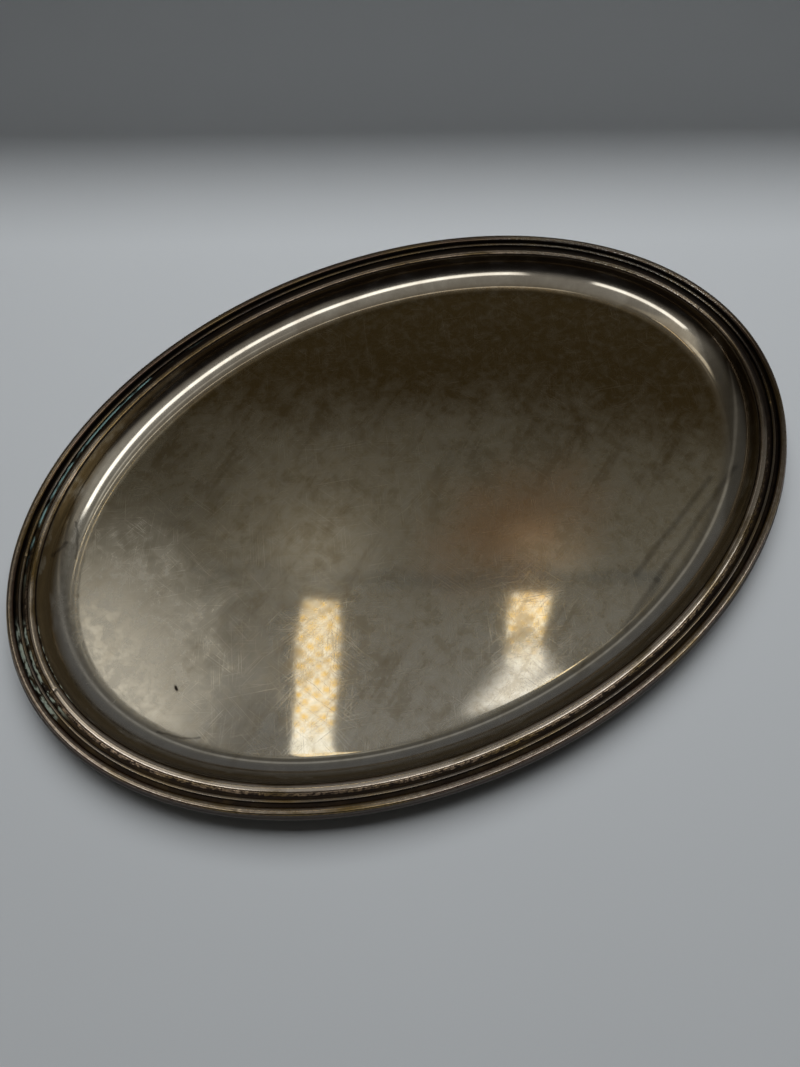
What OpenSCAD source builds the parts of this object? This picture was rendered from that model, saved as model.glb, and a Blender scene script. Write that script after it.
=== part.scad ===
/* [Tray] */
// Length over the outside of the border, along X
tray_l = 400; // [360:1:440]
// Width over the outside of the border, along Y
tray_w = 285; // [265:1:320]
// Height from the table to the top of the outer bead
tray_h = 18; // [14:0.5:24]
// Thickness of the pressed sheet
sheet_t = 1.2; // [0.8:0.1:1.6]

/* [Well] */
// Radius of the bend where the floor turns up into the wall
bend_r = 12; // [6:0.5:13]
// Slope of the wall where that bend ends, in degrees
wall_foot = 36; // [28:1:44]
// Slope of the wall where it meets the border, in degrees
wall_head = 80; // [68:1:82]

/* [Border] */
// Width of the flat border that the mouldings are soldered to
border_w = 14.2; // [13.8:0.1:18]
// Radius of the edge of the sheet, turned down below the outer bead
edge_r = 1.9; // [1.7:0.1:2.4]
// Radius of the outer bead's section
outer_r = 1.7; // [1.4:0.1:1.9]
// How far the outer bead's middle stands in from the edge
outer_in = 2.9; // [2.7:0.1:3.2]
// Height of the outer bead's middle above the flat of the border
outer_lift = 1; // [0.4:0.1:1.2]
// Width of the thin reed between the beads
reed_w = 1.1; // [0.8:0.1:1.3]
// Height of the thin reed above the border
reed_rise = 1.5; // [0.8:0.1:1.8]
// How far the reed's middle stands in from the edge
reed_in = 7; // [6.2:0.1:7.2]
// Width of the wide inner bead
inner_w = 4.1; // [3.6:0.1:4.6]
// Height of the wide inner bead above the border
inner_rise = 1.5; // [1:0.1:1.8]
// Width of the low step along the inner bead's outer side
step_w = 0.9; // [0.5:0.1:1]
// Height of that step above the border
step_rise = 0.6; // [0.3:0.1:0.8]

/* [Joints in the border] */
// Outward direction at the outer bead's first joint, in degrees from +X
outer_joint_1 = 27; // [0:1:60]
// Outward direction at its second joint
outer_joint_2 = 91; // [70:1:180]
// Outward direction at its third joint
outer_joint_3 = 235; // [200:1:340]
// Outward direction at the thin reed's first joint; the second is half a turn on
reed_joint = 150; // [0:1:179]
// Outward direction at the inner bead's first joint; the second is half a turn on
inner_joint = 10; // [0:1:179]

/* [Hidden] */
$fn = 160;

half_l = tray_l / 2;
half_w = tray_w / 2;
border_z = tray_h - outer_r - outer_lift;
well_d = border_z - sheet_t;
bend_steps = 4;
wall_steps = 6;
edge_steps = 5;
floor_ring = 18;
plate_lap = 9;
plate_steps = 72;
foot_line = 0.3;

// The oval is an ellipse drawn with arcs that share tangents, so every ring around the tray has
// the same centres. The arcs change at these outward directions, whose cosines and sines are
// whole hundredths, and their radii are whole quarters, so that neighbours meet exactly.
TURNS = [0, acos(0.96), acos(0.8), acos(0.6), acos(0.28), 90];
function quarters(r) = round(4 * r) / 4;
function normal(t) = [cos(t), sin(t)];
// What a millimetre of an arc's radius adds to the half length and to the half width.
function share(i) = [cos(TURNS[i]) - cos(TURNS[i + 1]), sin(TURNS[i + 1]) - sin(TURNS[i])];
function ellipse_r(t) =
    pow(half_l * half_w, 2) / pow(pow(half_l * cos(t), 2) + pow(half_w * sin(t), 2), 1.5);
inner_r = [for (i = [1 : 3]) quarters(ellipse_r((TURNS[i] + TURNS[i + 1]) / 2))];
// The end and side arcs take up what is left: two equations, for the length and the width.
left = [half_l, half_w] - inner_r[0] * share(1) - inner_r[1] * share(2) - inner_r[2] * share(3);
both = share(0)[0] * share(4)[1] - share(4)[0] * share(0)[1];
end_r = quarters((left[0] * share(4)[1] - share(4)[0] * left[1]) / both);
side_r = quarters((share(0)[0] * left[1] - left[0] * share(0)[1]) / both);

// Once round, from the first change of arc past +X. The radii repeat every half turn.
CHANGES = [for (q = [0 : 4]) for (i = [1 : 4]) 90 * q + TURNS[i]];
HALF_RADII = [inner_r[0], inner_r[1], inner_r[2], side_r, inner_r[2], inner_r[1], inner_r[0], end_r];
function arc_r(j) = HALF_RADII[j % 8];
function step_to(j) = (arc_r(j - 1) - arc_r(j)) * normal(CHANGES[j]);
// The side arc, the fourth, has its centre on the middle line.
true_half_w = end_r * share(0)[1] + inner_r[0] * share(1)[1] + inner_r[1] * share(2)[1]
    + inner_r[2] * share(3)[1] + side_r * share(4)[1];
first_centre = [0, true_half_w - side_r] - step_to(1) - step_to(2) - step_to(3);
function arc_centre(j) = j == 0 ? first_centre : arc_centre(j - 1) + step_to(j);

// The slice of the plane between two directions from an arc's centre.
module slice(from, to) {
    far = 2.5 * half_l;
    translate([0, 0, -1]) linear_extrude(height = tray_h + 2)
        polygon([[0, 0], far * normal(from), far * normal(to)]);
}

// A section drawn with x outward from the edge (so negative is inward) and y as height,
// carried round the oval from one outward direction to another.
module carried(from, to) {
    for (lap = [-360, 0, 360]) for (j = [0 : 15]) {
        start = max(CHANGES[j] + lap, from);
        stop = min(CHANGES[j + 1] + lap, to);
        if (stop - start > 0.01)
            translate(arc_centre(j)) intersection() {
                rotate_extrude() translate([arc_r(j), 0]) children();
                slice(start, stop);
            }
    }
}

// Points of an arc: middle, radius, first and last direction, number of straight steps.
function arc(middle, r, from, to, steps) =
    [for (k = [0 : steps]) middle + r * normal(from + (to - from) * k / steps)];

// The wall: a bend out of the floor, then a wider hollow sweep up to the border.
wall_r = (well_d - bend_r * (1 - cos(wall_foot))) / (cos(wall_foot) - cos(wall_head));
bend_x = -border_w - bend_r * sin(wall_foot) - wall_r * (sin(wall_head) - sin(wall_foot));
bend_middle = [bend_x, sheet_t + bend_r];
wall_middle = [-border_w - wall_r * sin(wall_head), border_z + wall_r * cos(wall_head)];

module sheet_section() {
    floor_x = bend_x - floor_ring;
    edge_middle = [-edge_r, border_z - edge_r];
    // The border's underside starts where the wall's outer face comes up to its level.
    under_r = wall_r + sheet_t;
    under_head = acos((wall_middle[1] - border_z + sheet_t) / under_r);
    polygon(concat(
        [[floor_x, 0], [floor_x, sheet_t]],
        arc(bend_middle, bend_r, -90, wall_foot - 90, bend_steps),
        [for (k = [1 : wall_steps])
            wall_middle + wall_r * normal(wall_foot - 90 + (wall_head - wall_foot) * k / wall_steps)],
        arc(edge_middle, edge_r, 90, 0, edge_steps),
        arc(edge_middle, edge_r - sheet_t, 0, 90, edge_steps),
        [for (k = [wall_steps : -1 : 1])
            wall_middle + under_r * normal(wall_foot - 90 + (under_head - wall_foot) * k / wall_steps)],
        arc(bend_middle, bend_r + sheet_t, wall_foot - 90, -90, bend_steps)
    ));
}

// The middle of the floor laps the flat ring that the section carries.
module floor_plate() {
    reach = bend_x - floor_ring + plate_lap;
    linear_extrude(height = sheet_t)
        polygon([for (k = [0 : plate_steps - 1])
            let (t = 360 * k / plate_steps)
            [(half_l + reach) * cos(t), (half_w + reach) * sin(t)]]);
}

module tray_body() {
    color([0.36, 0.34, 0.29]) {
        carried(0, 360) sheet_section();
        floor_plate();
    }
}

// A round-topped section standing on the flat of the border.
module domed(middle_in, w, rise) {
    r = (w * w / 4 + rise * rise) / (2 * rise);
    difference() {
        translate([-middle_in, border_z + rise - r]) circle(r);
        translate([-middle_in - 2 * r, border_z - 4 * r]) square([4 * r, 4 * r]);
    }
}

module outer_section() {
    difference() {
        translate([-outer_in, border_z + outer_lift]) circle(outer_r);
        translate([-outer_in - outer_r - 1, border_z - 2 * outer_r])
            square([2 * outer_r + 2, 2 * outer_r]);
    }
}

// The wide bead, set a hair out from the foot line of the border.
module inner_section() {
    middle_in = border_w - foot_line - inner_w / 2;
    union() {
        domed(middle_in, inner_w, inner_rise);
        translate([-middle_in, border_z]) square([inner_w / 2 + step_w, step_rise]);
    }
}

module outer_bead(from, to) {
    color([0.42, 0.33, 0.25]) carried(from, to) outer_section();
}

module thin_reed(from) {
    color([0.5, 0.46, 0.38]) carried(from, from + 180) domed(reed_in, reed_w, reed_rise);
}

module inner_bead(from) {
    color([0.45, 0.38, 0.3]) carried(from, from + 180) inner_section();
}

tray_body();
inner_bead(inner_joint);  // inner_bead_1
inner_bead(inner_joint + 180);  // inner_bead_2
thin_reed(reed_joint);  // thin_reed_1
thin_reed(reed_joint + 180);  // thin_reed_2
outer_bead(outer_joint_1, outer_joint_2);  // outer_bead_1
outer_bead(outer_joint_2, outer_joint_3);  // outer_bead_2
outer_bead(outer_joint_3, outer_joint_1 + 360);  // outer_bead_3
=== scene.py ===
"""Silver-plated serving tray: pressed body and soldered border mouldings, built on the CAD frame."""

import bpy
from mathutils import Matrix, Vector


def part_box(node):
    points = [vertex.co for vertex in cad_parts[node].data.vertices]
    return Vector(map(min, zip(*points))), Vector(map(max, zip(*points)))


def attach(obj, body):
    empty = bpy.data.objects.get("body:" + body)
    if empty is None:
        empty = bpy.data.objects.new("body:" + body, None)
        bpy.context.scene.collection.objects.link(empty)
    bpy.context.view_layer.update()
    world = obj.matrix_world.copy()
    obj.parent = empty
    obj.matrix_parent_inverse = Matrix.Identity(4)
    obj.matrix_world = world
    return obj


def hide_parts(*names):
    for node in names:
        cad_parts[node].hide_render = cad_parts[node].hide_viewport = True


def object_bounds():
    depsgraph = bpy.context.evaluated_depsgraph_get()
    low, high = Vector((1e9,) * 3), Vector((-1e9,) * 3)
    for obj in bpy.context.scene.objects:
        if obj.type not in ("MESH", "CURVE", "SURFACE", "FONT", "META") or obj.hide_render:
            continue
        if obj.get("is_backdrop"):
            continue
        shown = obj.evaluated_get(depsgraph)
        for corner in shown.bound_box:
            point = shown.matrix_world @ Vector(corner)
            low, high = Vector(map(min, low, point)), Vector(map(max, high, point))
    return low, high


bl_info = {
    "name": "Plated Serving Tray",
    "version": (1, 0, 0),
    "blender": (4, 5, 0),
    "location": "3D View > Sidebar > Tray",
    "description": "Builds an oval plated tray with its beaded border, its finishes and a pale table",
    "category": "Add Mesh",
}

import math

import bpy
import numpy as np
from mathutils import Matrix, Vector, noise

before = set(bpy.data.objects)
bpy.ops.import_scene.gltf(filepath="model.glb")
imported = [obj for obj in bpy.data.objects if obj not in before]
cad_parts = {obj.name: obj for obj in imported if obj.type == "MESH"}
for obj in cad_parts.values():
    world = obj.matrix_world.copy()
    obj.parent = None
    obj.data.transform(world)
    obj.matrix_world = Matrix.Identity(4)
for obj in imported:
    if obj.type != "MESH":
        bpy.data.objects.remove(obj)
CAD_LOW, CAD_HIGH = (Vector(corner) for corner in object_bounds())

MM = 0.001
STATIONS = 480  # cross-sections round the oval
STEP = math.tau / STATIONS


# ---------------------------------------------------------------- settings

def length(name, description, default, **more):
    return bpy.props.FloatProperty(
        name=name, description=description, default=default, unit="LENGTH", precision=5, **more)


def angle(name, description, degrees):
    return bpy.props.FloatProperty(
        name=name, description=description, default=math.radians(degrees), subtype="ANGLE")


def colour(name, description, rgb):
    return bpy.props.FloatVectorProperty(
        name=name, description=description, default=rgb, subtype="COLOR", min=0.0, max=1.0)


class TraySizes(bpy.types.PropertyGroup):
    """Sizes of the tray. The outline and the heights come from the CAD frame."""

    half_length: length("Half length", "Middle to the end of the border", CAD_HIGH.x)
    half_width: length("Half width", "Middle to the side of the border", CAD_HIGH.y)
    sheet: length("Sheet", "Thickness of the pressed sheet", 1.2 * MM)
    border_height: length(
        "Border height", "Table to the flat of the border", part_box("tray_body")[1].z)
    border_width: length("Border width", "Width of the flat border", 14.2 * MM)
    bend_radius: length("Bend radius", "Bend between floor and wall", 12.0 * MM)
    wall_foot: angle("Wall foot", "Slope of the wall above the bend", 36)
    wall_head: angle("Wall head", "Slope of the wall under the border", 80)
    floor_ring: length("Floor ring", "Flat floor that is swept with the wall", 12.0 * MM)
    edge_radius: length("Edge radius", "Turned-down edge of the sheet", 1.9 * MM)
    outer_radius: length("Outer bead radius", "Section of the outer bead", 1.7 * MM)
    outer_inset: length("Outer bead inset", "Edge to the outer bead's middle", 2.9 * MM)
    outer_lift: length("Outer bead lift", "Border to the outer bead's middle", 1.0 * MM)
    reed_inset: length("Reed inset", "Edge to the reed's middle", 7.0 * MM)
    reed_width: length("Reed width", "Width of the thin reed", 1.1 * MM)
    inner_width: length("Inner bead width", "Width of the wide inner bead", 4.1 * MM)
    foot_line: length("Foot line", "Flat left between the inner bead and the wall", 0.3 * MM)
    step_width: length("Step width", "Low step outside the inner bead", 0.9 * MM)
    step_height: length("Step height", "Height of that step", 0.6 * MM)
    warp: length("Floor warp", "How far the floor has gone out of true", 0.16 * MM)
    inner_joint: angle("Inner bead joint", "Outward direction at its first joint", 10)
    reed_joint: angle("Reed joint", "Outward direction at its first joint", 150)
    outer_joint_1: angle("Outer bead joint 1", "Outward direction at its first joint", 27)
    outer_joint_2: angle("Outer bead joint 2", "Outward direction at its second joint", 91)
    outer_joint_3: angle("Outer bead joint 3", "Outward direction at its third joint", 235)


class TrayColours(bpy.types.PropertyGroup):
    """Colours of the plate, its tarnish and the table."""

    silver: colour("Silver", "Rubbed plate", (0.74, 0.71, 0.64))
    olive: colour("Olive tarnish", "Thin tarnish on the floor", (0.52, 0.45, 0.31))
    # Umber also paints the shade on the near side of the wall.
    umber: colour("Umber tarnish", "Thicker tarnish", (0.21, 0.145, 0.060))
    plum: colour("Plum tarnish", "Purple grey film on the wall", (0.44, 0.415, 0.375))
    # Black also paints the shade on the far side and the dark reflection lines.
    black: colour("Black tarnish", "Tarnish in the grooves", (0.030, 0.022, 0.018))
    copper: colour("Worn crest", "Base metal showing on the beads", (0.50, 0.34, 0.24))
    inner_brown: colour("Inner bead brown", "Body of the wide inner bead", (0.40, 0.30, 0.215))
    reed_brown: colour("Reed brown", "Body of the thin reed", (0.050, 0.038, 0.030))
    outer_brown: colour("Outer bead brown", "Body of the outer bead", (0.145, 0.094, 0.066))
    # The lip colour is near black: painted shade of the shadow under the border.
    lip: colour("Lip", "Rubbed grey on the turned-down edge", (0.10, 0.09, 0.085))
    orange: colour("Orange stain", "Stain on the floor", (0.60, 0.36, 0.19))
    residue: colour("Polish residue", "Dried polish in the grooves", (0.40, 0.46, 0.38))
    verdigris: colour("Verdigris", "Green bloom in the outer groove", (0.22, 0.36, 0.34))
    table: colour("Table", "Pale table top", (0.62, 0.64, 0.655))


# ---------------------------------------------------------------- oval and sections

def sizes():
    return bpy.context.scene.tray_sizes


def colours():
    return bpy.context.scene.tray_colours


def turn(middle, radius, start, stop, steps):
    """Points of an arc in a section, from one direction to another, in radians."""
    angles = [start + (stop - start) * k / steps for k in range(steps + 1)]
    return [(middle[0] + radius * math.cos(a), middle[1] + radius * math.sin(a)) for a in angles]


def wall_shape(s):
    """The wall's two arcs: their middles, the wall's radius and where the floor's bend starts.
    Sections are drawn with x outward from the edge, so inward is negative, and y as height."""
    depth = s.border_height - s.sheet
    foot, head = s.wall_foot, s.wall_head
    radius = (depth - s.bend_radius * (1 - math.cos(foot))) / (math.cos(foot) - math.cos(head))
    run = s.bend_radius * math.sin(foot) + radius * (math.sin(head) - math.sin(foot))
    bend_x = -s.border_width - run
    bend_middle = (bend_x, s.sheet + s.bend_radius)
    wall_middle = (-s.border_width - radius * math.sin(head),
                   s.border_height + radius * math.cos(head))
    return bend_x, bend_middle, wall_middle, radius


def sheet_section(s):
    """Closed section of the pressed sheet, from the flat floor out to the turned-down edge."""
    bend_x, bend_middle, wall_middle, radius = wall_shape(s)
    floor_x = bend_x - s.floor_ring
    quarter = math.pi / 2
    foot, head = s.wall_foot - quarter, s.wall_head - quarter
    edge = (-s.edge_radius, s.border_height - s.edge_radius)
    under_radius = radius + s.sheet
    under_head = math.acos((wall_middle[1] - s.border_height + s.sheet) / under_radius) - quarter
    ring = [(floor_x + s.floor_ring * k / 4, s.sheet) for k in range(4)]
    top = ring + turn(bend_middle, s.bend_radius, -quarter, foot, 12)
    top += turn(wall_middle, radius, foot, head, 16)[1:-1]
    # The wall turns into the border over a small rounded shoulder.
    shoulder = 0.35 * MM
    top += [(-s.border_width - 0.25 * shoulder, s.border_height - 0.7 * shoulder),
            (-s.border_width + 0.25 * shoulder, s.border_height - 0.12 * shoulder),
            (-s.border_width + shoulder, s.border_height)]
    top += [(-s.border_width + (s.border_width - s.edge_radius) * k / 5, s.border_height)
            for k in range(1, 5)]
    lip = turn(edge, s.edge_radius, quarter, 0, 9)
    lip += turn(edge, s.edge_radius - s.sheet, 0, quarter, 5)
    under = turn(wall_middle, under_radius, under_head, foot, 14)
    under += turn(bend_middle, s.bend_radius + s.sheet, foot, -quarter, 8)[1:]
    return top + lip + under + [(floor_x, 0.0)]


def dome(middle, width, rise, base, steps=14):
    """A round-topped section that stands on the border, open side down, with a flat foot."""
    radius = (width * width / 4 + rise * rise) / (2 * rise)
    half = math.asin(min(1.0, width / 2 / radius))
    if rise > radius:
        half = math.pi - half
    quarter = math.pi / 2
    return turn((middle, base + rise - radius), radius, quarter + half, quarter - half, steps)


def outer_section(s):
    half = math.pi / 2 + math.asin(s.outer_lift / s.outer_radius)
    middle = (-s.outer_inset, s.border_height + s.outer_lift)
    return turn(middle, s.outer_radius, math.pi / 2 + half, math.pi / 2 - half, 26)


def reed_section(s):
    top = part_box("thin_reed_1")[1].z
    return dome(-s.reed_inset, s.reed_width, top - s.border_height, s.border_height, 12)


def inner_section(s):
    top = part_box("inner_bead_1")[1].z
    middle = -s.border_width + s.foot_line + s.inner_width / 2
    bead = dome(middle, s.inner_width, top - s.border_height, s.border_height, 20)
    foot = middle + s.inner_width / 2
    step = s.border_height + s.step_height
    # The dome stops where it meets the step, whose outer corner is rounded.
    bead = [p for p in bead if p[0] < middle or p[1] > step]
    corner = turn((foot + s.step_width * 0.6, step - s.step_width * 0.4),
                  s.step_width * 0.4, math.pi / 2, 0, 4)
    return bead + [(foot + 0.05 * MM, step)] + corner + [(foot + s.step_width, s.border_height)]


# ---------------------------------------------------------------- modelling

def deselect():
    bpy.ops.object.select_all(action="DESELECT")


def only(obj):
    deselect()
    obj.select_set(True)
    bpy.context.view_layer.objects.active = obj


def section_curve(points):
    """A closed flat curve to sweep. A sweep lays x inward, so x changes sign here."""
    deselect()
    bpy.ops.curve.primitive_bezier_curve_add()
    curve = bpy.context.object
    curve.data.splines.clear()
    curve.data.dimensions = "2D"
    spline = curve.data.splines.new("POLY")
    spline.points.add(len(points) - 1)
    for point, (x, y) in zip(spline.points, points):
        point.co = (-x, y, 0.0, 1.0)
    spline.use_cyclic_u = True
    return curve


def oval_path(start, stop):
    """The border's edge as a curve, clockwise, between two stations of the oval or all round."""
    s = sizes()
    deselect()
    bpy.ops.mesh.primitive_circle_add(vertices=STATIONS, radius=1.0)
    path = bpy.context.object
    whole = stop - start >= STATIONS
    if not whole:
        bpy.ops.object.mode_set(mode="EDIT")
        bpy.ops.mesh.select_mode(type="VERT")
        bpy.ops.mesh.select_all(action="DESELECT")
        bpy.ops.object.mode_set(mode="OBJECT")
        for v in path.data.vertices:
            station = round(math.atan2(v.co.y, v.co.x) / STEP)
            v.select = (station - start) % STATIONS > stop - start
        bpy.ops.object.mode_set(mode="EDIT")
        bpy.ops.mesh.delete(type="VERT")
    else:
        bpy.ops.object.mode_set(mode="EDIT")
    bpy.ops.mesh.select_all(action="SELECT")
    bpy.ops.transform.resize(value=(s.half_length, s.half_width, 1.0), center_override=(0, 0, 0))
    bpy.ops.object.mode_set(mode="OBJECT")
    bpy.ops.object.convert(target="CURVE")
    path = bpy.context.object
    points = [p.co for p in path.data.splines[0].points]
    a, b = points[0], points[1]
    if a.x * b.y - a.y * b.x > 0:
        bpy.ops.object.mode_set(mode="EDIT")
        bpy.ops.curve.select_all(action="SELECT")
        bpy.ops.curve.switch_direction()
        bpy.ops.object.mode_set(mode="OBJECT")
    return path


def weld(piece):
    """Merge doubled points and turn the faces outward."""
    only(piece)
    bpy.ops.object.mode_set(mode="EDIT")
    bpy.ops.mesh.select_all(action="SELECT")
    bpy.ops.mesh.remove_doubles(threshold=0.001 * MM)
    bpy.ops.mesh.normals_make_consistent(inside=False)
    bpy.ops.object.mode_set(mode="OBJECT")


def sweep(name, points, start, stop):
    """Carry a section along the oval and turn the result into a mesh with outward normals."""
    section = section_curve(points)
    path = oval_path(start, stop)
    only(path)
    path.data.dimensions = "3D"
    path.data.twist_mode = "Z_UP"
    path.data.bevel_mode = "OBJECT"
    path.data.bevel_object = section
    path.data.use_fill_caps = True
    bpy.ops.object.convert(target="MESH")
    piece = bpy.context.object
    piece.name = piece.data.name = name
    bpy.data.objects.remove(section)
    weld(piece)
    return piece


def select_only(piece, kind, chosen):
    """Select edges or faces whose corners are all chosen vertices, and stay in edit mode."""
    mesh = piece.data
    bpy.ops.object.mode_set(mode="EDIT")
    bpy.ops.mesh.select_mode(type={"edges": "EDGE", "polygons": "FACE"}[kind])
    bpy.ops.mesh.select_all(action="DESELECT")
    bpy.ops.object.mode_set(mode="OBJECT")
    for item in getattr(mesh, kind):
        item.select = all(chosen[i] for i in item.vertices)
    bpy.ops.object.mode_set(mode="EDIT")


def points_of(piece):
    """The mesh's points as an array, and how far each is in from the outer edge."""
    co = np.empty(len(piece.data.vertices) * 3)
    piece.data.vertices.foreach_get("co", co)
    co = co.reshape(-1, 3)
    return co, inset_of(co[:, 0], co[:, 1])


def select_faces(piece, test):
    """Select the faces that pass a test, and stay in edit mode."""
    bpy.ops.object.mode_set(mode="EDIT")
    bpy.ops.mesh.select_mode(type="FACE")
    bpy.ops.mesh.select_all(action="DESELECT")
    bpy.ops.object.mode_set(mode="OBJECT")
    for face in piece.data.polygons:
        face.select = test(face)
    bpy.ops.object.mode_set(mode="EDIT")


def soften_ends(piece):
    """Make each end cap one face and round its rim, so that a butt joint shows as a fine line."""
    only(piece)
    select_faces(piece, lambda face: len(face.vertices) == 3)
    bpy.ops.mesh.dissolve_faces()
    select_faces(piece, lambda face: len(face.vertices) > 4)
    bpy.ops.mesh.region_to_loop()
    bpy.ops.mesh.bevel(offset=0.16 * MM, segments=2, affect="EDGES", clamp_overlap=True)
    bpy.ops.mesh.select_all(action="SELECT")
    bpy.ops.mesh.normals_make_consistent(inside=False)
    bpy.ops.object.mode_set(mode="OBJECT")


def close_floor(piece, height, inner_x, rings=22):
    """Fill the floor inward from one inner rim in shrinking rings, down to a point."""
    co, inset = points_of(piece)
    on_rim = (np.abs(co[:, 2] - height) < 0.01 * MM) & (inset > -inner_x - 0.05 * MM)
    select_only(piece, "edges", on_rim)
    for ring in range(rings, 1, -1):
        shrink = (ring - 1) / ring
        bpy.ops.mesh.extrude_edges_move()
        bpy.ops.transform.resize(value=(shrink, shrink, 1.0), center_override=(0, 0, height))
    bpy.ops.mesh.extrude_edges_move()
    bpy.ops.mesh.merge(type="CENTER")
    bpy.ops.object.mode_set(mode="OBJECT")


def foot_angle(x, y):
    """Parameter of the nearest point on the oval, by Newton steps."""
    s = sizes()
    a, b = s.half_length, s.half_width
    t = np.arctan2(a * y, b * x)
    for _ in range(6):
        slope = (a * a - b * b) * np.cos(t) * np.sin(t) - x * a * np.sin(t) + y * b * np.cos(t)
        bend = (a * a - b * b) * np.cos(2 * t) - x * a * np.cos(t) - y * b * np.sin(t)
        t = t - slope / np.where(np.abs(bend) < 1e-9, 1e-9, bend)
    return t


def inset_of(x, y):
    """Distance in from the outer edge."""
    s = sizes()
    t = foot_angle(np.asarray(x, float), np.asarray(y, float))
    return np.hypot(s.half_length * np.cos(t) - x, s.half_width * np.sin(t) - y)


def unwrap(piece):
    """UV: U runs round the border and V is the distance in from the edge, both in metres."""
    s = sizes()
    mesh = piece.data
    co, inset = points_of(piece)
    t = foot_angle(co[:, 0], co[:, 1])
    fine = np.linspace(0, math.tau, 2000)
    pace = np.hypot(s.half_length * np.sin(fine), s.half_width * np.cos(fine))
    travel = np.concatenate([[0], np.cumsum((pace[1:] + pace[:-1]) / 2 * np.diff(fine))])
    along = np.interp(t % math.tau, fine, travel)
    while mesh.uv_layers:
        mesh.uv_layers.remove(mesh.uv_layers[0])
    layer = mesh.uv_layers.new(name="border")
    corners = np.empty(len(mesh.loops), int)
    mesh.loops.foreach_get("vertex_index", corners)
    uv = np.stack([along[corners], inset[corners]], 1)
    for face in mesh.polygons:
        span = slice(face.loop_start, face.loop_start + face.loop_total)
        u = uv[span, 0]
        if u.max() - u.min() > travel[-1] / 2:
            uv[span, 0] = np.where(u < travel[-1] / 2, u + travel[-1], u)
    layer.data.foreach_set("uv", uv.ravel())


def finish_piece(piece, slot, *nodes, sharp=35):
    only(piece)
    bpy.ops.object.shade_smooth_by_angle(angle=math.radians(sharp))
    unwrap(piece)
    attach(piece, "root")
    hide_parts(*nodes)


# ---------------------------------------------------------------- shader tools

class Value:
    """A node's output socket. Arithmetic on it adds Math nodes."""

    def __init__(self, finish, socket):
        self.finish, self.socket = finish, socket

    def math(self, operation, *others, clamp=False):
        return self.finish.node(
            "ShaderNodeMath", {"operation": operation, "use_clamp": clamp},
            {i: v for i, v in enumerate([self, *others])})

    def __add__(self, other):
        return self.math("ADD", other)

    def __sub__(self, other):
        return self.math("SUBTRACT", other)

    def __rsub__(self, other):
        return self.finish.number(other).math("SUBTRACT", self)

    def __mul__(self, other):
        return self.math("MULTIPLY", other)

    def __truediv__(self, other):
        return self.math("DIVIDE", other)

    def __pow__(self, other):
        return self.math("POWER", other)

    __radd__ = __add__
    __rmul__ = __mul__

    def clamped(self):
        return self.math("ADD", 0.0, clamp=True)

    def rising(self, low, high):
        """0 below low, 1 above high, smooth between."""
        return self.finish.node(
            "ShaderNodeMapRange", {"interpolation_type": "SMOOTHSTEP"},
            {"Value": self, "From Min": low, "From Max": high, "To Min": 0.0, "To Max": 1.0})

    def falling(self, low, high):
        return 1 - self.rising(low, high)

    def band(self, low, high, soft):
        """1 between low and high, 0 outside, with soft edges."""
        return self.rising(low - soft, low + soft) * self.falling(high - soft, high + soft)


class Nodes:
    """A node tree under construction."""

    def __init__(self, tree):
        self.tree = tree

    def node(self, kind, settings=None, inputs=None, output=0):
        """A new node of a kind, its settings made first, then its inputs set or linked."""
        made = self.tree.nodes.new(kind)
        for name, value in (settings or {}).items():
            if name == "stops":
                ramp = made.color_ramp
                for position, _ in value[len(ramp.elements):]:
                    ramp.elements.new(position)
                for element, (position, rgb) in zip(ramp.elements, value):
                    element.position, element.color = position, (*rgb, 1.0)
            else:
                setattr(made, name, value)
        for name, value in (inputs or {}).items():
            if isinstance(value, Value):
                self.tree.links.new(value.socket, made.inputs[name])
            elif isinstance(value, (tuple, list)) and len(made.inputs[name].default_value) == 4:
                made.inputs[name].default_value = (*value, 1.0)
            else:
                made.inputs[name].default_value = value
        return Value(self, made.outputs[output])

    def number(self, value):
        return self.node("ShaderNodeMath", {"operation": "ADD"}, {0: float(value), 1: 0.0})

    def axes(self, vector):
        return [self.node("ShaderNodeSeparateXYZ", inputs={0: vector}, output=i) for i in range(3)]

    def joined(self, x, y, z=0.0):
        return self.node("ShaderNodeCombineXYZ", inputs={0: x, 1: y, 2: z})

    def mapped(self, vector, move=(0, 0, 0), turn_by=0.0, scale=(1, 1, 1)):
        """The vector moved and turned, and only then stretched."""
        turned = self.node("ShaderNodeMapping", inputs={
            "Vector": vector, "Location": move, "Rotation": (0, 0, turn_by)})
        return self.node("ShaderNodeMapping", inputs={"Vector": turned, "Scale": scale})

    def cloud(self, vector, scale, detail=4.0, rough=0.55, distortion=0.0):
        return self.node("ShaderNodeTexNoise", inputs={
            "Vector": vector, "Scale": scale, "Detail": detail, "Roughness": rough,
            "Distortion": distortion})

    def blend(self, factor, first, second):
        """A colour from first to second."""
        return self.node("ShaderNodeMix", {"data_type": "RGBA"},
                         {0: factor, 6: first, 7: second}, output=2)

    def spot(self, x, y, middle, radius, ragged, blur=0.5):
        """A patch: 1 at its middle, fading to 0 at its ragged edge."""
        dx, dy = (x - middle[0]) / radius[0], (y - middle[1]) / radius[1]
        reach = (dx * dx + dy * dy) ** 0.5
        return (reach + ragged).falling(1 - blur, 1 + blur)


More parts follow.
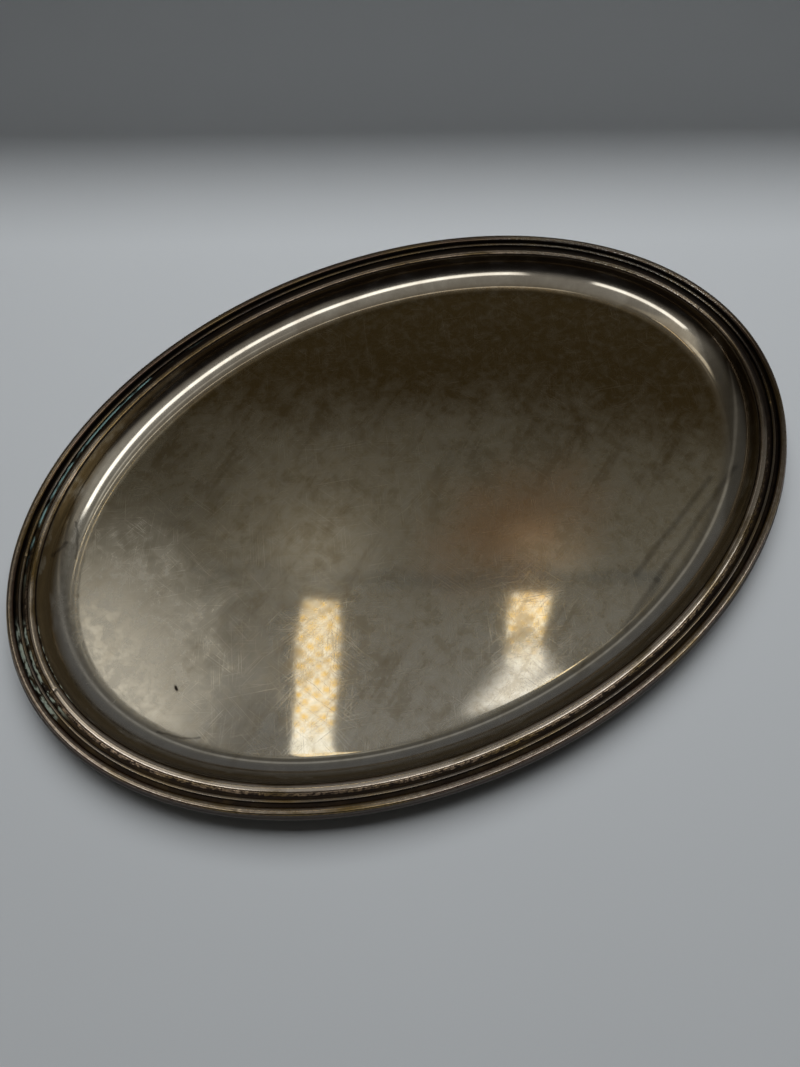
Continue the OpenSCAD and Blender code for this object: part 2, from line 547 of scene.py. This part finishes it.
class Finish(Nodes):
    """A material: one Principled shader and what feeds it."""

    def __init__(self, name, **fixed):
        self.material = bpy.data.materials.new(name)
        self.material.use_nodes = True
        super().__init__(self.material.node_tree)
        self.fixed = {name.replace("_", " "): value for name, value in fixed.items()}
        self.shader = self.tree.nodes["Principled BSDF"]
        for socket, value in self.fixed.items():
            self.shader.inputs[socket].default_value = value

    def place(self):
        return self.node("ShaderNodeTexCoord", output="Object")

    def border(self):
        """The piece's own UV: distance round the border, and distance in from the edge."""
        uv = self.node("ShaderNodeUVMap", {"uv_map": "border"})
        return self.axes(uv)[:2]

    def feed(self, **sockets):
        for name, value in sockets.items():
            self.tree.links.new(value.socket, self.shader.inputs[name.replace("_", " ")])

    def haze(self, factor, roughness, shade, normal):
        """Mix in a second, rougher shader, as fine wear does to a polished metal."""
        rough = self.node("ShaderNodeBsdfPrincipled", inputs={
            **self.fixed, "Roughness": roughness, "Base Color": shade, "Normal": normal})
        polished = Value(self, self.shader.outputs[0])
        mixed = self.node("ShaderNodeMixShader", inputs={0: factor, 1: polished, 2: rough})
        self.tree.links.new(mixed.socket, self.tree.nodes["Material Output"].inputs["Surface"])

    def bump(self, height, distance, strength=1.0):
        return self.node("ShaderNodeBump", inputs={
            "Height": height, "Distance": distance, "Strength": strength})

    def scratches(self, vector, fineness, turn_by, amount, seed):
        """Fine straight scratches that lie about one direction, each a few centimetres long."""
        lay = self.mapped(vector, (seed, 0.37 * seed, 0), turn_by, (fineness * 0.006, fineness, 1))
        lines = self.cloud(lay, 1.0, 1.0, 0.5, 0.35)
        broken = self.cloud(self.mapped(vector, (seed, seed, seed)), 70.0, 2.0, 0.5)
        return lines.rising(0.55 + amount, 0.62 + amount) * broken.rising(0.45, 0.6)

    def stroke(self, along, inset, first, last, width=0.35 * MM):
        """A dark hairline between two points, each given as distance round and distance in."""
        run, rise = last[0] - first[0], last[1] - first[1]
        size = run * run + rise * rise
        u, v = along - first[0], inset - first[1]
        part = ((u * run + v * rise) / size).clamped()
        du, dv = u - part * run, v - part * rise
        return ((du * du + dv * dv) ** 0.5).falling(0.2 * width, 2.6 * width)


# ---------------------------------------------------------------- finishes

def away(x, y):
    """How far a place or a direction lies towards the far right, where the tray is darkest."""
    return x * 0.50 + y * 0.87


class Clouds:
    """The patterns that the sheet's finishes share, from wide to fine, and wipe marks."""

    def __init__(self, f, place):
        self.wide = f.cloud(place, 9.0, 3.0, 0.5)
        self.mottle = f.cloud(place, 45.0, 6.0, 0.62, 0.6)
        self.fine = f.cloud(place, 190.0, 5.0, 0.65, 0.3)
        self.grain = f.cloud(place, 420.0, 4.0, 0.6)
        wiped_along = f.mapped(place, turn_by=-0.55, scale=(13, 75, 1))
        self.wiped = f.cloud(wiped_along, 1.0, 6.0, 0.68, 0.4)


def floor_tarnish(f, x, y, n):
    """Olive to umber tarnish, thicker towards the far side and thin where the tray is wiped."""
    c = colours()
    cloudy = (n.mottle - 0.5) * 0.07 + (n.wiped - 0.5) * 0.05 + (n.wide - 0.5) * 0.07
    reach = away(x, y) + cloudy
    tarnish = (reach.rising(-0.13, 0.02) * 0.6 + (n.fine - 0.5) * 0.9 + 0.15).clamped()
    thick = reach.rising(0.006, 0.074)
    thick = (thick * 0.95 + (n.fine - 0.5) * thick).clamped()
    streaky = n.wiped.rising(0.50, 0.72) * 0.40 + (n.mottle + n.fine - 1.0).rising(-0.08, 0.30) * 0.24
    shade = f.blend(tarnish, tuple(c.silver), tuple(c.olive))
    shade = f.blend(thick, shade, tuple(c.umber))
    return f.blend(streaky.clamped(), shade, tuple(c.umber)), tarnish


def floor_wear(f, shade, x, y, n):
    """Rubbed patches at the left end and in the middle, and an orange stain."""
    c = colours()
    ragged = (n.mottle - 0.5) * 1.5
    left_rub = f.spot(x, y, (-0.148, 0.014), (0.030, 0.038), ragged, 0.75)
    low_rub = f.spot(x, y, (-0.146, -0.030), (0.034, 0.030), ragged, 0.85)
    centre = f.spot(x, y, (-0.052, 0.014), (0.040, 0.028), ragged, 0.95)
    orange = f.spot(x, y, (0.034, -0.040), (0.036, 0.024), ragged, 0.9)
    worn = (left_rub + low_rub * 0.7).clamped()
    blotch = 0.25 + n.fine.rising(0.35, 0.7)
    shade = f.blend((worn * blotch).clamped(), shade, tuple(c.silver))
    return f.blend(orange * 0.7, shade, tuple(c.orange)), worn, worn * blotch, centre


def wall_film(f, shade, on_wall, n):
    """A purple grey film on the wall."""
    c = colours()
    film = f.blend(n.mottle.rising(0.35, 0.7) * 0.6, tuple(c.plum), tuple(c.silver))
    return f.blend(on_wall * 0.65, shade, film)


def wall_band_and_shade(f, shade, reach, along, inset, bead_foot):
    """A patchy umber band on the wall just below the inner bead, widened by painted shade on the near
    side, with black painted shade on the far side.
    """
    c = colours()
    patches = f.cloud(f.joined(along * 60, inset * 300), 1.0, 5.0, 0.65)
    umber_band = inset.band(bead_foot, bead_foot + 0.0029, 0.0015) * patches.rising(0.30, 0.54)
    # Painted shade: a wider, darker umber band on the near side of the wall.
    near_shade = reach.falling(-0.06, 0.02) * inset.band(bead_foot, bead_foot + 0.0051, 0.0025)
    umber_band = (umber_band + near_shade * patches.rising(0.20, 0.50)).clamped()
    # Painted shade: black on the wall just below the inner bead on the far side.
    far_shade = inset.band(bead_foot - 0.0003, bead_foot + 0.0041, 0.0016) * reach.rising(0.00, 0.07)
    shade = f.blend(umber_band * 0.88, shade, tuple(c.umber))
    return f.blend(far_shade * (0.55 + patches * 0.5), shade, tuple(c.black))


def reflection_lines(f, x, y, along, inset, mottle):
    """Painted dark reflections: thin dark lines low on the wall at the left, and long faint ones at
    the right end.
    """
    wavy = inset + (mottle - 0.5) * 0.004
    at_wall = (
        (0.481, 0.0160, 0.470, 0.0186), (0.457, 0.0197, 0.464, 0.0220),
        (0.464, 0.0220, 0.478, 0.0240), (0.611, 0.0255, 0.626, 0.0275),
        (0.626, 0.0275, 0.634, 0.0300),
    )
    marks = f.number(0.0)
    for x0, y0, x1, y1 in at_wall:
        marks = marks + f.stroke(along, wavy, (x0, y0), (x1, y1))
    sway = x + (mottle - 0.5) * 0.006
    on_floor = ((0.147, -0.068, 0.077, -0.098), (0.077, -0.098, 0.050, -0.110),
                (0.135, -0.066, 0.070, -0.091))
    for x0, y0, x1, y1 in on_floor:
        marks = marks + f.stroke(sway, y, (x0, y0), (x1, y1), 0.9 * MM) * 0.7
    return marks.clamped()


def groove_colours(f, x, y, along, inset, mottle):
    """Black tarnish between the mouldings, with dried polish and a green bloom in places."""
    c = colours()
    shade = f.blend(mottle.rising(0.45, 0.7) * 0.25, tuple(c.black), tuple(c.umber))
    left_end = along.band(0.520, 0.572, 0.006)
    polish = f.cloud(f.joined(along * 170, inset * 500), 1.0, 3.0, 0.6).rising(0.46, 0.56)
    polish = polish * left_end * 0.8
    shade = f.blend(polish, shade, tuple(c.residue))
    far_left = y.rising(0.03, 0.07) * x.falling(-0.09, -0.05) * inset.band(0.0074, 0.0096, 0.0005)
    bloom = f.cloud(f.joined(along * 60, inset * 200), 1.0, 3.0, 0.6).rising(0.44, 0.54) * far_left
    return f.blend(bloom, shade, tuple(c.verdigris)), (polish + bloom).clamped()


def floor_scratches(f, place, on_floor, worn):
    """Scratches in eight directions, denser where the floor is rubbed."""
    lines = f.number(0.0)
    for k in range(8):
        lines = lines + f.scratches(place, 2300 + 330 * k, 0.3 + 0.83 * k, 0.10, 3.1 * k)
    return (lines * (0.6 + worn * 1.4) * on_floor).clamped()


def sheet_finish():
    """The pressed sheet: tarnished floor, cleaner wall, black grooves on the border."""
    c = colours()
    s = sizes()
    floor_edge = -wall_shape(s)[0]
    bead_foot = s.border_width - s.foot_line
    f = Finish("plated_sheet", Metallic=1.0)
    place = f.place()
    x, y, z = f.axes(place)
    along, inset = f.border()
    n = Clouds(f, place)

    on_floor = inset.rising(floor_edge - 0.003, floor_edge + 0.001)
    on_wall = inset.rising(bead_foot, bead_foot + 0.0006)
    on_wall = on_wall * inset.falling(floor_edge - 0.008, floor_edge + 0.001)
    in_groove = inset.falling(bead_foot, bead_foot + 0.0005) * z.rising(0.0110, 0.0145)
    lip = inset.falling(0.0014, 0.0026)

    shade, tarnish = floor_tarnish(f, x, y, n)
    shade, worn, rubbed, centre = floor_wear(f, shade, x, y, n)
    shade = wall_film(f, shade, on_wall, n)
    # Umber band below the inner bead, with painted shade on the near and far sides.
    shade = wall_band_and_shade(f, shade, away(x, y), along, inset, bead_foot)
    # Thin dark lines on the wall and floor are painted reflections.
    shade = f.blend(reflection_lines(f, x, y, along, inset, n.mottle) * 0.5, shade, tuple(c.black))
    groove, powder = groove_colours(f, x, y, along, inset, n.mottle)
    shade = f.blend(in_groove, shade, groove)
    # Painted shade: the turned-down lip is darkened towards near black.
    shade = f.blend(lip * 0.7, shade, tuple(c.lip))
    scratched = floor_scratches(f, place, on_floor, worn)
    shade = f.blend((scratched * (0.24 + worn * 0.6)).clamped(), shade, tuple(c.silver))
    speck = f.spot(x, y, (-0.1429, -0.0355), (0.0007, 0.0015), (n.grain - 0.5) * 1.2)
    shade = f.blend(speck, shade, tuple(c.black))

    dull = 0.02 + tarnish * 0.04 + n.fine * 0.03 + rubbed * 0.25 + centre * 0.05
    dull = dull + scratched * 0.12 + on_wall * 0.02 + in_groove * 0.4 + lip * 0.25 + speck * 0.5
    dents = f.cloud(place, 16.0, 2.0, 0.5)
    relief = dents * 1.0 + n.grain * 0.008 - scratched * 0.006 + n.mottle * 0.012
    normal = f.bump(relief, 0.00035, 0.5)
    f.feed(Base_Color=shade, Roughness=dull.clamped(), Normal=normal,
           Metallic=1 - powder * in_groove)
    veil = 0.02 + n.mottle * 0.15 + n.fine * 0.14 + n.wiped * 0.14 + centre * 0.35 + worn * 0.40
    veil = (veil + scratched * 0.22) * (1 - on_wall * 0.5)
    f.haze(veil.clamped(), 0.30, shade, normal)
    return f.material


def bead_finish(name, top_z, body, crest_low, bright, dark_in=0.0):
    """A soldered moulding: black along its feet with a ragged edge, brown and rubbed on top. The
    tarnish reaches up to crest_low of its height. On the far side, painted shade darkens the moulding
    towards black, dims its rubbed top and spreads the black from the outer edge in to dark_in."""
    c = colours()
    base_z = sizes().border_height
    f = Finish(name, Metallic=1.0)
    x, y, z = f.axes(f.place())
    along, inset = f.border()
    ragged = f.cloud(f.joined(along * 420, inset * 700), 1.0, 6.0, 0.75)
    drift = f.cloud(f.joined(along * 26, inset * 120), 1.0, 4.0, 0.6)
    speckle = f.cloud(f.joined(along * 1300, inset * 2000), 1.0, 3.0, 0.65)
    height = (z - base_z) / (top_z - base_z)
    foot = (height + (ragged - 0.5) * 1.0).falling(crest_low - 0.08, crest_low + 0.14)
    crest = (height + (ragged - 0.5) * 0.5).rising(crest_low + 0.20, crest_low + 0.54)
    # Painted shade: the far side of the moulding is darkened towards black and its rubbed top dimmed.
    far_shade = away(x, y).rising(0.00, 0.07)

    shade = f.blend(drift.rising(0.42, 0.62), body, tuple(c.umber))
    polished = crest * bright * drift.falling(0.50, 0.70) * (1 - far_shade * 0.6)
    rubbed = f.blend(0.35, tuple(c.silver), tuple(c.copper))
    shade = f.blend(far_shade * 0.5, f.blend(polished, shade, rubbed), tuple(c.black))
    far_end = x.rising(0.10, 0.15) * y.rising(-0.02, 0.03)
    chafed = speckle.rising(0.60, 0.70) * crest * 0.6 + speckle.rising(0.50, 0.58) * far_end * 0.6
    shade = f.blend(chafed.clamped(), shade, tuple(c.silver))
    # Painted shade: on the far side the black covers the moulding from the outer edge in to dark_in.
    far_shade_inward = (away(x, y) + (drift - 0.5) * 0.1).rising(-0.01, 0.05)
    far_shade_inward = far_shade_inward * (inset + (ragged - 0.5) * 0.0012).falling(dark_in - 0.0004, dark_in + 0.0004)
    foot = (foot + far_shade_inward * 0.9).clamped()

    dull = 0.07 + drift * 0.12 + foot * 0.35 + speckle * 0.08
    relief = speckle * 0.25 + ragged * 0.5 + drift * 0.8
    f.feed(Base_Color=f.blend(foot, shade, tuple(c.black)), Roughness=dull.clamped(),
           Normal=f.bump(relief, 0.00007, 0.8))
    return f.material


def table_finish():
    """Plain pale laminate, a little uneven."""
    c = colours()
    f = Finish("pale_table", Roughness=0.55)
    place = f.place()
    cloud = f.cloud(place, 3.0, 3.0, 0.5)
    pale = tuple(v * 1.03 for v in c.table)
    deep = tuple(v * 0.97 for v in c.table)
    f.feed(Base_Color=f.blend(cloud, deep, pale))
    fine = f.cloud(place, 900.0, 3.0, 0.6)
    f.feed(Normal=f.bump(fine, 0.00005, 0.3))
    return f.material


# ---------------------------------------------------------------- operators

def put_material(piece, material):
    piece.data.materials.clear()
    piece.data.materials.append(material)


def warp_floor(piece):
    """Years of use have left the floor slightly wavy."""
    s = sizes()
    for v in piece.data.vertices:
        if v.co.z > 0.9 * s.sheet:
            reach = math.hypot(v.co.x / s.half_length, v.co.y / s.half_width)
            hold = max(0.0, 1.0 - (reach / 0.86) ** 6)
            wave = noise.noise(v.co * 14.0) + 0.5 * noise.noise(v.co * 31.0)
            v.co.z += s.warp * hold * wave


class TRAY_OT_body(bpy.types.Operator):
    """Press the sheet: floor, wall, flat border and turned-down edge"""

    bl_idname = "tray.body"
    bl_label = "Tray Body"

    def execute(self, context):
        s = sizes()
        piece = sweep("pressed_body", sheet_section(s), 0, STATIONS)
        floor_x = wall_shape(s)[0] - s.floor_ring
        select_only(piece, "polygons", points_of(piece)[1] > -floor_x - 0.05 * MM)
        bpy.ops.mesh.delete(type="ONLY_FACE")
        bpy.ops.object.mode_set(mode="OBJECT")
        close_floor(piece, s.sheet, floor_x)
        close_floor(piece, 0.0, floor_x)
        weld(piece)
        warp_floor(piece)
        finish_piece(piece, "plated_sheet", "tray_body")
        put_material(piece, sheet_finish())
        return {"FINISHED"}


def moulding(name, section, start, stop, slot, node, material):
    """One length of a moulding, from one station of the oval to another."""
    piece = sweep(name, section, start, stop)
    soften_ends(piece)
    finish_piece(piece, slot, node, sharp=50)
    put_material(piece, material)


def station(direction):
    """The station nearest an outward direction."""
    s = sizes()
    t = math.atan2(s.half_width * math.sin(direction), s.half_length * math.cos(direction))
    return round(t % math.tau / STEP)


def two_lengths(name, section, joint, slot, node, skin):
    """A moulding in two equal lengths, from one joint half round to the other."""
    half = STATIONS // 2
    for k in range(2):
        start = station(joint) + half * k
        moulding(f"{name}_{k + 1}", section, start, start + half, slot, f"{node}_{k + 1}", skin)


class TRAY_OT_inner_bead(bpy.types.Operator):
    """Solder on the wide inner bead, in two lengths"""

    bl_idname = "tray.inner_bead"
    bl_label = "Inner Bead"

    def execute(self, context):
        s = sizes()
        skin = bead_finish("inner_bead_plate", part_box("inner_bead_1")[1].z,
                           tuple(colours().inner_brown), crest_low=0.42, bright=0.95, dark_in=0.0122)
        two_lengths("wide_bead", inner_section(s), s.inner_joint, "plated_moulding",
                    "inner_bead", skin)
        return {"FINISHED"}


class TRAY_OT_thin_reed(bpy.types.Operator):
    """Solder on the thin reed, in two lengths"""

    bl_idname = "tray.thin_reed"
    bl_label = "Thin Reed"

    def execute(self, context):
        s = sizes()
        skin = bead_finish("thin_reed_plate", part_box("thin_reed_1")[1].z,
                           tuple(colours().reed_brown), crest_low=0.45, bright=0.22)
        two_lengths("reed_wire", reed_section(s), s.reed_joint, "thin_moulding",
                    "thin_reed", skin)
        return {"FINISHED"}


class TRAY_OT_outer_bead(bpy.types.Operator):
    """Solder on the outer bead, in three lengths"""

    bl_idname = "tray.outer_bead"
    bl_label = "Outer Bead"

    def execute(self, context):
        s = sizes()
        skin = bead_finish("outer_bead_plate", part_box("outer_bead_1")[1].z,
                           tuple(colours().outer_brown), crest_low=0.60, bright=0.85)
        stops = [station(joint) for joint in (s.outer_joint_1, s.outer_joint_2, s.outer_joint_3)]
        stops.append(stops[0] + STATIONS)
        for k in range(3):
            moulding(f"rim_bead_{k + 1}", outer_section(s), stops[k], stops[k + 1],
                     "plated_moulding", f"outer_bead_{k + 1}", skin)
        return {"FINISHED"}


# ---------------------------------------------------------------- stage, light and camera

CAMERA_AT = Vector((-0.0976, -0.1655, 0.3555))
CAMERA_AIM = Vector((-0.01736, -0.01657, 0.0))
CAMERA_ROLL = 0.705  # degrees
SENSOR, LENS = 36.0, 26.99
TABLE_GAP = 0.05 * MM  # keeps the table from lying exactly in the tray's underside
CEILING = 2.0  # height of the lamps above the table
CREAM = (1.0, 0.97, 0.86)
# Name, near end, far end, width, colour, strength, how dotted, and width of the dim edge.
LAMPS = (
    ("left_lamp", (-0.147, 0.302), (0.11, 0.74), 0.125, CREAM, 1.5, 1.0, 0.008),
    ("right_lamp", (0.54, 0.24), (0.70, 0.45), 0.125, CREAM, 1.9, 1.0, 0.008),
    ("low_lamp", (0.27, 0.12), (0.66, 0.28), 0.20, (1.0, 0.97, 0.90), 1.65, 0.0, 0.060),
    ("left_glow", (0.08, 0.71), (0.30, 1.09), 0.44, (1.0, 0.95, 0.84), 1.5, 0.0, 0.19),
    ("right_glow", (0.73, 0.39), (0.91, 0.70), 0.40, (1.0, 0.92, 0.76), 1.6, 0.0, 0.17),
)
# The room's colour against its slant: below 0 is behind the viewer, above 0 ahead of them.
ROOM_SHADES = (
    (-2.0, (0.055, 0.055, 0.06)), (-1.5, (0.17, 0.17, 0.165)), (-0.9, (0.34, 0.335, 0.32)),
    (-0.2, (0.32, 0.315, 0.30)), (0.05, (0.25, 0.245, 0.23)), (0.30, (0.175, 0.170, 0.155)),
    (0.46, (0.145, 0.139, 0.122)), (0.60, (0.100, 0.095, 0.082)), (0.74, (0.080, 0.076, 0.067)),
    (0.92, (0.090, 0.087, 0.080)), (1.06, (0.29, 0.285, 0.27)), (1.22, (0.29, 0.285, 0.27)),
    (1.4, (0.125, 0.124, 0.118)), (2.0, (0.11, 0.11, 0.11)),
)


def add_camera():
    deselect()
    bpy.ops.object.camera_add(location=CAMERA_AT)
    camera = bpy.context.object
    look = (CAMERA_AIM - CAMERA_AT).to_track_quat("-Z", "Y")
    camera.rotation_euler = (look.to_matrix() @ Matrix.Rotation(
        math.radians(-CAMERA_ROLL), 3, "Z")).to_euler()
    camera.data.sensor_width = SENSOR
    camera.data.lens = LENS
    camera.data.clip_start = 0.01
    bpy.context.scene.camera = camera


def add_key_light(at, aim, width, depth, power):
    """A soft light from the far right, which the metal doesn't mirror."""
    deselect()
    bpy.ops.object.light_add(type="AREA", location=at)
    lamp = bpy.context.object
    lamp.name = "key"
    lamp.rotation_euler = (Vector(aim) - Vector(at)).to_track_quat("-Z", "Y").to_euler()
    lamp.data.shape = "RECTANGLE"
    lamp.data.size, lamp.data.size_y = width, depth
    lamp.data.energy = power
    lamp.data.color = (0.96, 0.98, 1.0)
    lamp.data.spread = math.radians(125)
    lamp.visible_glossy = False


def lamp_glow(name, width, length_now, rgb, strength, dots, edge):
    """Light with dimmed edges, dotted with amber towards the panel's far end."""
    f = Finish(name + "_glow", Roughness=1.0, Metallic=0.0, Base_Color=(0, 0, 0, 1),
               Emission_Strength=strength)
    place = f.place()
    x, y, _ = f.axes(place)
    grid = f.mapped(place, turn_by=math.radians(45))
    spots = f.node("ShaderNodeTexVoronoi", {"feature": "F1", "voronoi_dimensions": "2D"},
                   {"Vector": grid, "Scale": 31.0, "Randomness": 0.12}, output="Distance")
    dotted = spots.falling(0.25, 0.40) * y.rising(-0.42 * length_now, -0.22 * length_now) * dots
    amber = (rgb[0], rgb[1] * 0.60, 0.0)
    half_x, half_y = width / 2 - edge, length_now / 2 - edge
    inside = x.band(-half_x, half_x, edge) * y.band(-half_y, half_y, edge)
    f.feed(Emission_Color=f.blend(dotted, rgb, amber), Alpha=inside)
    return f.material


def add_lamp_panel(name, near, far, width, rgb, strength, dots, edge):
    """A glowing panel overhead between two points, seen only in reflections."""
    near, far = Vector((*near, CEILING)), Vector((*far, CEILING))
    run = far - near
    deselect()
    bpy.ops.mesh.primitive_plane_add(size=1.0)
    panel = bpy.context.object
    panel.name = name
    bpy.ops.object.mode_set(mode="EDIT")
    bpy.ops.mesh.select_all(action="SELECT")
    bpy.ops.transform.resize(value=(width, run.length, 1.0))
    bpy.ops.object.mode_set(mode="OBJECT")
    panel.location = (near + far) / 2
    panel.rotation_euler = (0, 0, math.atan2(-run.x, run.y))
    put_material(panel, lamp_glow(name, width, run.length, rgb, strength, dots, edge))
    panel.visible_camera = False
    panel.visible_shadow = False
    panel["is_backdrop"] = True


def add_gauze(at, size, turned):
    """A gauze that holds most of the key light off the far part of the table."""
    deselect()
    bpy.ops.mesh.primitive_plane_add(size=1.0, location=at, rotation=(0, 0, turned))
    gauze = bpy.context.object
    gauze.name = "shade_gauze"
    gauze.scale = (size[0], size[1], 1.0)
    put_material(gauze, Finish("shade_gauze", Roughness=1.0, Alpha=0.86).material)
    gauze.visible_camera = False
    gauze.visible_glossy = False
    gauze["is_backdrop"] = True


def heading(x, y, level, degrees):
    """How nearly a direction of the room points along a compass direction."""
    a = math.radians(degrees)
    return (x * math.cos(a) + y * math.sin(a)) / level


def room_walls(n, room, gx, gy):
    """A pale wall to the left with a bright part, a dark corner, a cornice and an alcove.
    gx and gy say how far a direction leans along X and Y from straight up."""
    beside = gx.band(-1.25, -0.17, 0.10) * gy.band(0.0, 0.42, 0.07)
    room = n.blend(beside * 0.8, room, (0.68, 0.65, 0.58))
    left_wall = gx.band(-0.42, -0.15, 0.05) * gy.band(0.30, 0.57, 0.07)
    room = n.blend(left_wall * 0.95, room, (1.15, 1.09, 0.95))
    corner = gx.falling(-0.06, 0.14) * gy.rising(0.50, 0.60) * 0.55
    room = n.blend(corner, room, (0.03, 0.027, 0.02))
    cornice = (gx * 0.577 + gy).band(0.466, 0.486, 0.008)
    room = n.blend(cornice * 0.6, room, (0.045, 0.055, 0.065))
    alcove = gx.band(-0.13, -0.03, 0.05) * gy.band(0.10, 0.33, 0.05) * 0.6
    return n.blend(alcove, room, (0.05, 0.05, 0.05))


def room_windows(n, room, x, y, z):
    """Two runs of window with the viewer between them, and dimmer runs below and above."""
    level = (x * x + y * y) ** 0.5 + 0.001
    near_run = heading(x, y, level, -68).rising(0.66, 0.71)
    far_run = heading(x, y, level, -164).rising(0.88, 0.91)
    low_run = heading(x, y, level, -52).rising(0.82, 0.88) * z.band(0.30, 0.49, 0.04)
    room = n.blend(low_run * 0.8, room, (0.42, 0.41, 0.38))
    window = z.band(0.57, 0.69, 0.02) * (near_run + far_run).clamped()
    room = n.blend(window, room, (2.8, 2.85, 2.85))
    upper_run = heading(x, y, level, -28).rising(0.83, 0.90) * z.band(0.865, 0.905, 0.012)
    return n.blend(upper_run * 0.8, room, (0.8, 0.79, 0.75))


def dim_room():
    """The room that the plate mirrors: pale windows behind the viewer, darker ahead and above."""
    world = bpy.data.worlds.new("room")
    bpy.context.scene.world = world
    world.use_nodes = True
    # The table is lit by the key light alone, which keeps the shadow under the border dark.
    world.cycles_visibility.diffuse = False
    n = Nodes(world.node_tree)
    x, y, z = n.axes(n.node("ShaderNodeTexCoord", output="Generated"))
    steep = z.math("MAXIMUM", 0.12)
    first, last = ROOM_SHADES[0][0], ROOM_SHADES[-1][0]
    stops = [((at - first) / (last - first), rgb) for at, rgb in ROOM_SHADES]
    slant = away(x, y) / steep
    room = n.node("ShaderNodeValToRGB", {"stops": stops}, {0: (slant - first) * (1 / (last - first))})
    room = room_walls(n, room, x / steep, y / steep)
    room = room_windows(n, room, x, y, z)
    n.tree.links.new(room.socket, n.tree.nodes["Background"].inputs["Color"])


def add_table():
    deselect()
    bpy.ops.mesh.primitive_plane_add(size=8.0, location=(0, 0, -TABLE_GAP))
    table = bpy.context.object
    table.name = "table_top"
    put_material(table, table_finish())
    table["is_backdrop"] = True


class TRAY_OT_stage(bpy.types.Operator):
    """Lay the table and set the lights and the camera"""

    bl_idname = "tray.stage"
    bl_label = "Table, Light and Camera"

    def execute(self, context):
        add_table()
        add_camera()
        dim_room()
        add_key_light((0.28, 0.44, 1.15), (0.06, 0.0, 0), 1.15, 0.95, 6.8)
        add_gauze((0.404, 0.750, 0.10), (4.0, 1.2), math.radians(-28.3))
        for lamp in LAMPS:
            add_lamp_panel(*lamp)
        scene = context.scene
        scene.view_settings.view_transform = "Standard"
        scene.view_settings.look = "None"
        return {"FINISHED"}


class TRAY_PT_panel(bpy.types.Panel):
    """Sidebar panel with the tray's sizes, colours and steps"""

    bl_label = "Serving Tray"
    bl_idname = "TRAY_PT_panel"
    bl_space_type = "VIEW_3D"
    bl_region_type = "UI"
    bl_category = "Tray"

    def draw(self, context):
        for group in (context.scene.tray_sizes, context.scene.tray_colours):
            for name in group.__annotations__:
                self.layout.prop(group, name)
        for operator in STEPS:
            self.layout.operator(operator.bl_idname)


STEPS = (TRAY_OT_body, TRAY_OT_inner_bead, TRAY_OT_thin_reed, TRAY_OT_outer_bead, TRAY_OT_stage)
CLASSES = (TraySizes, TrayColours, *STEPS, TRAY_PT_panel)


def register():
    for cls in CLASSES:
        bpy.utils.register_class(cls)
    bpy.types.Scene.tray_sizes = bpy.props.PointerProperty(type=TraySizes)
    bpy.types.Scene.tray_colours = bpy.props.PointerProperty(type=TrayColours)


def unregister():
    del bpy.types.Scene.tray_sizes
    del bpy.types.Scene.tray_colours
    for cls in reversed(CLASSES):
        bpy.utils.unregister_class(cls)


def main():
    register()
    bpy.ops.tray.body()
    bpy.ops.tray.inner_bead()
    bpy.ops.tray.thin_reed()
    bpy.ops.tray.outer_bead()
    bpy.ops.tray.stage()


if __name__ == "__main__":
    main()
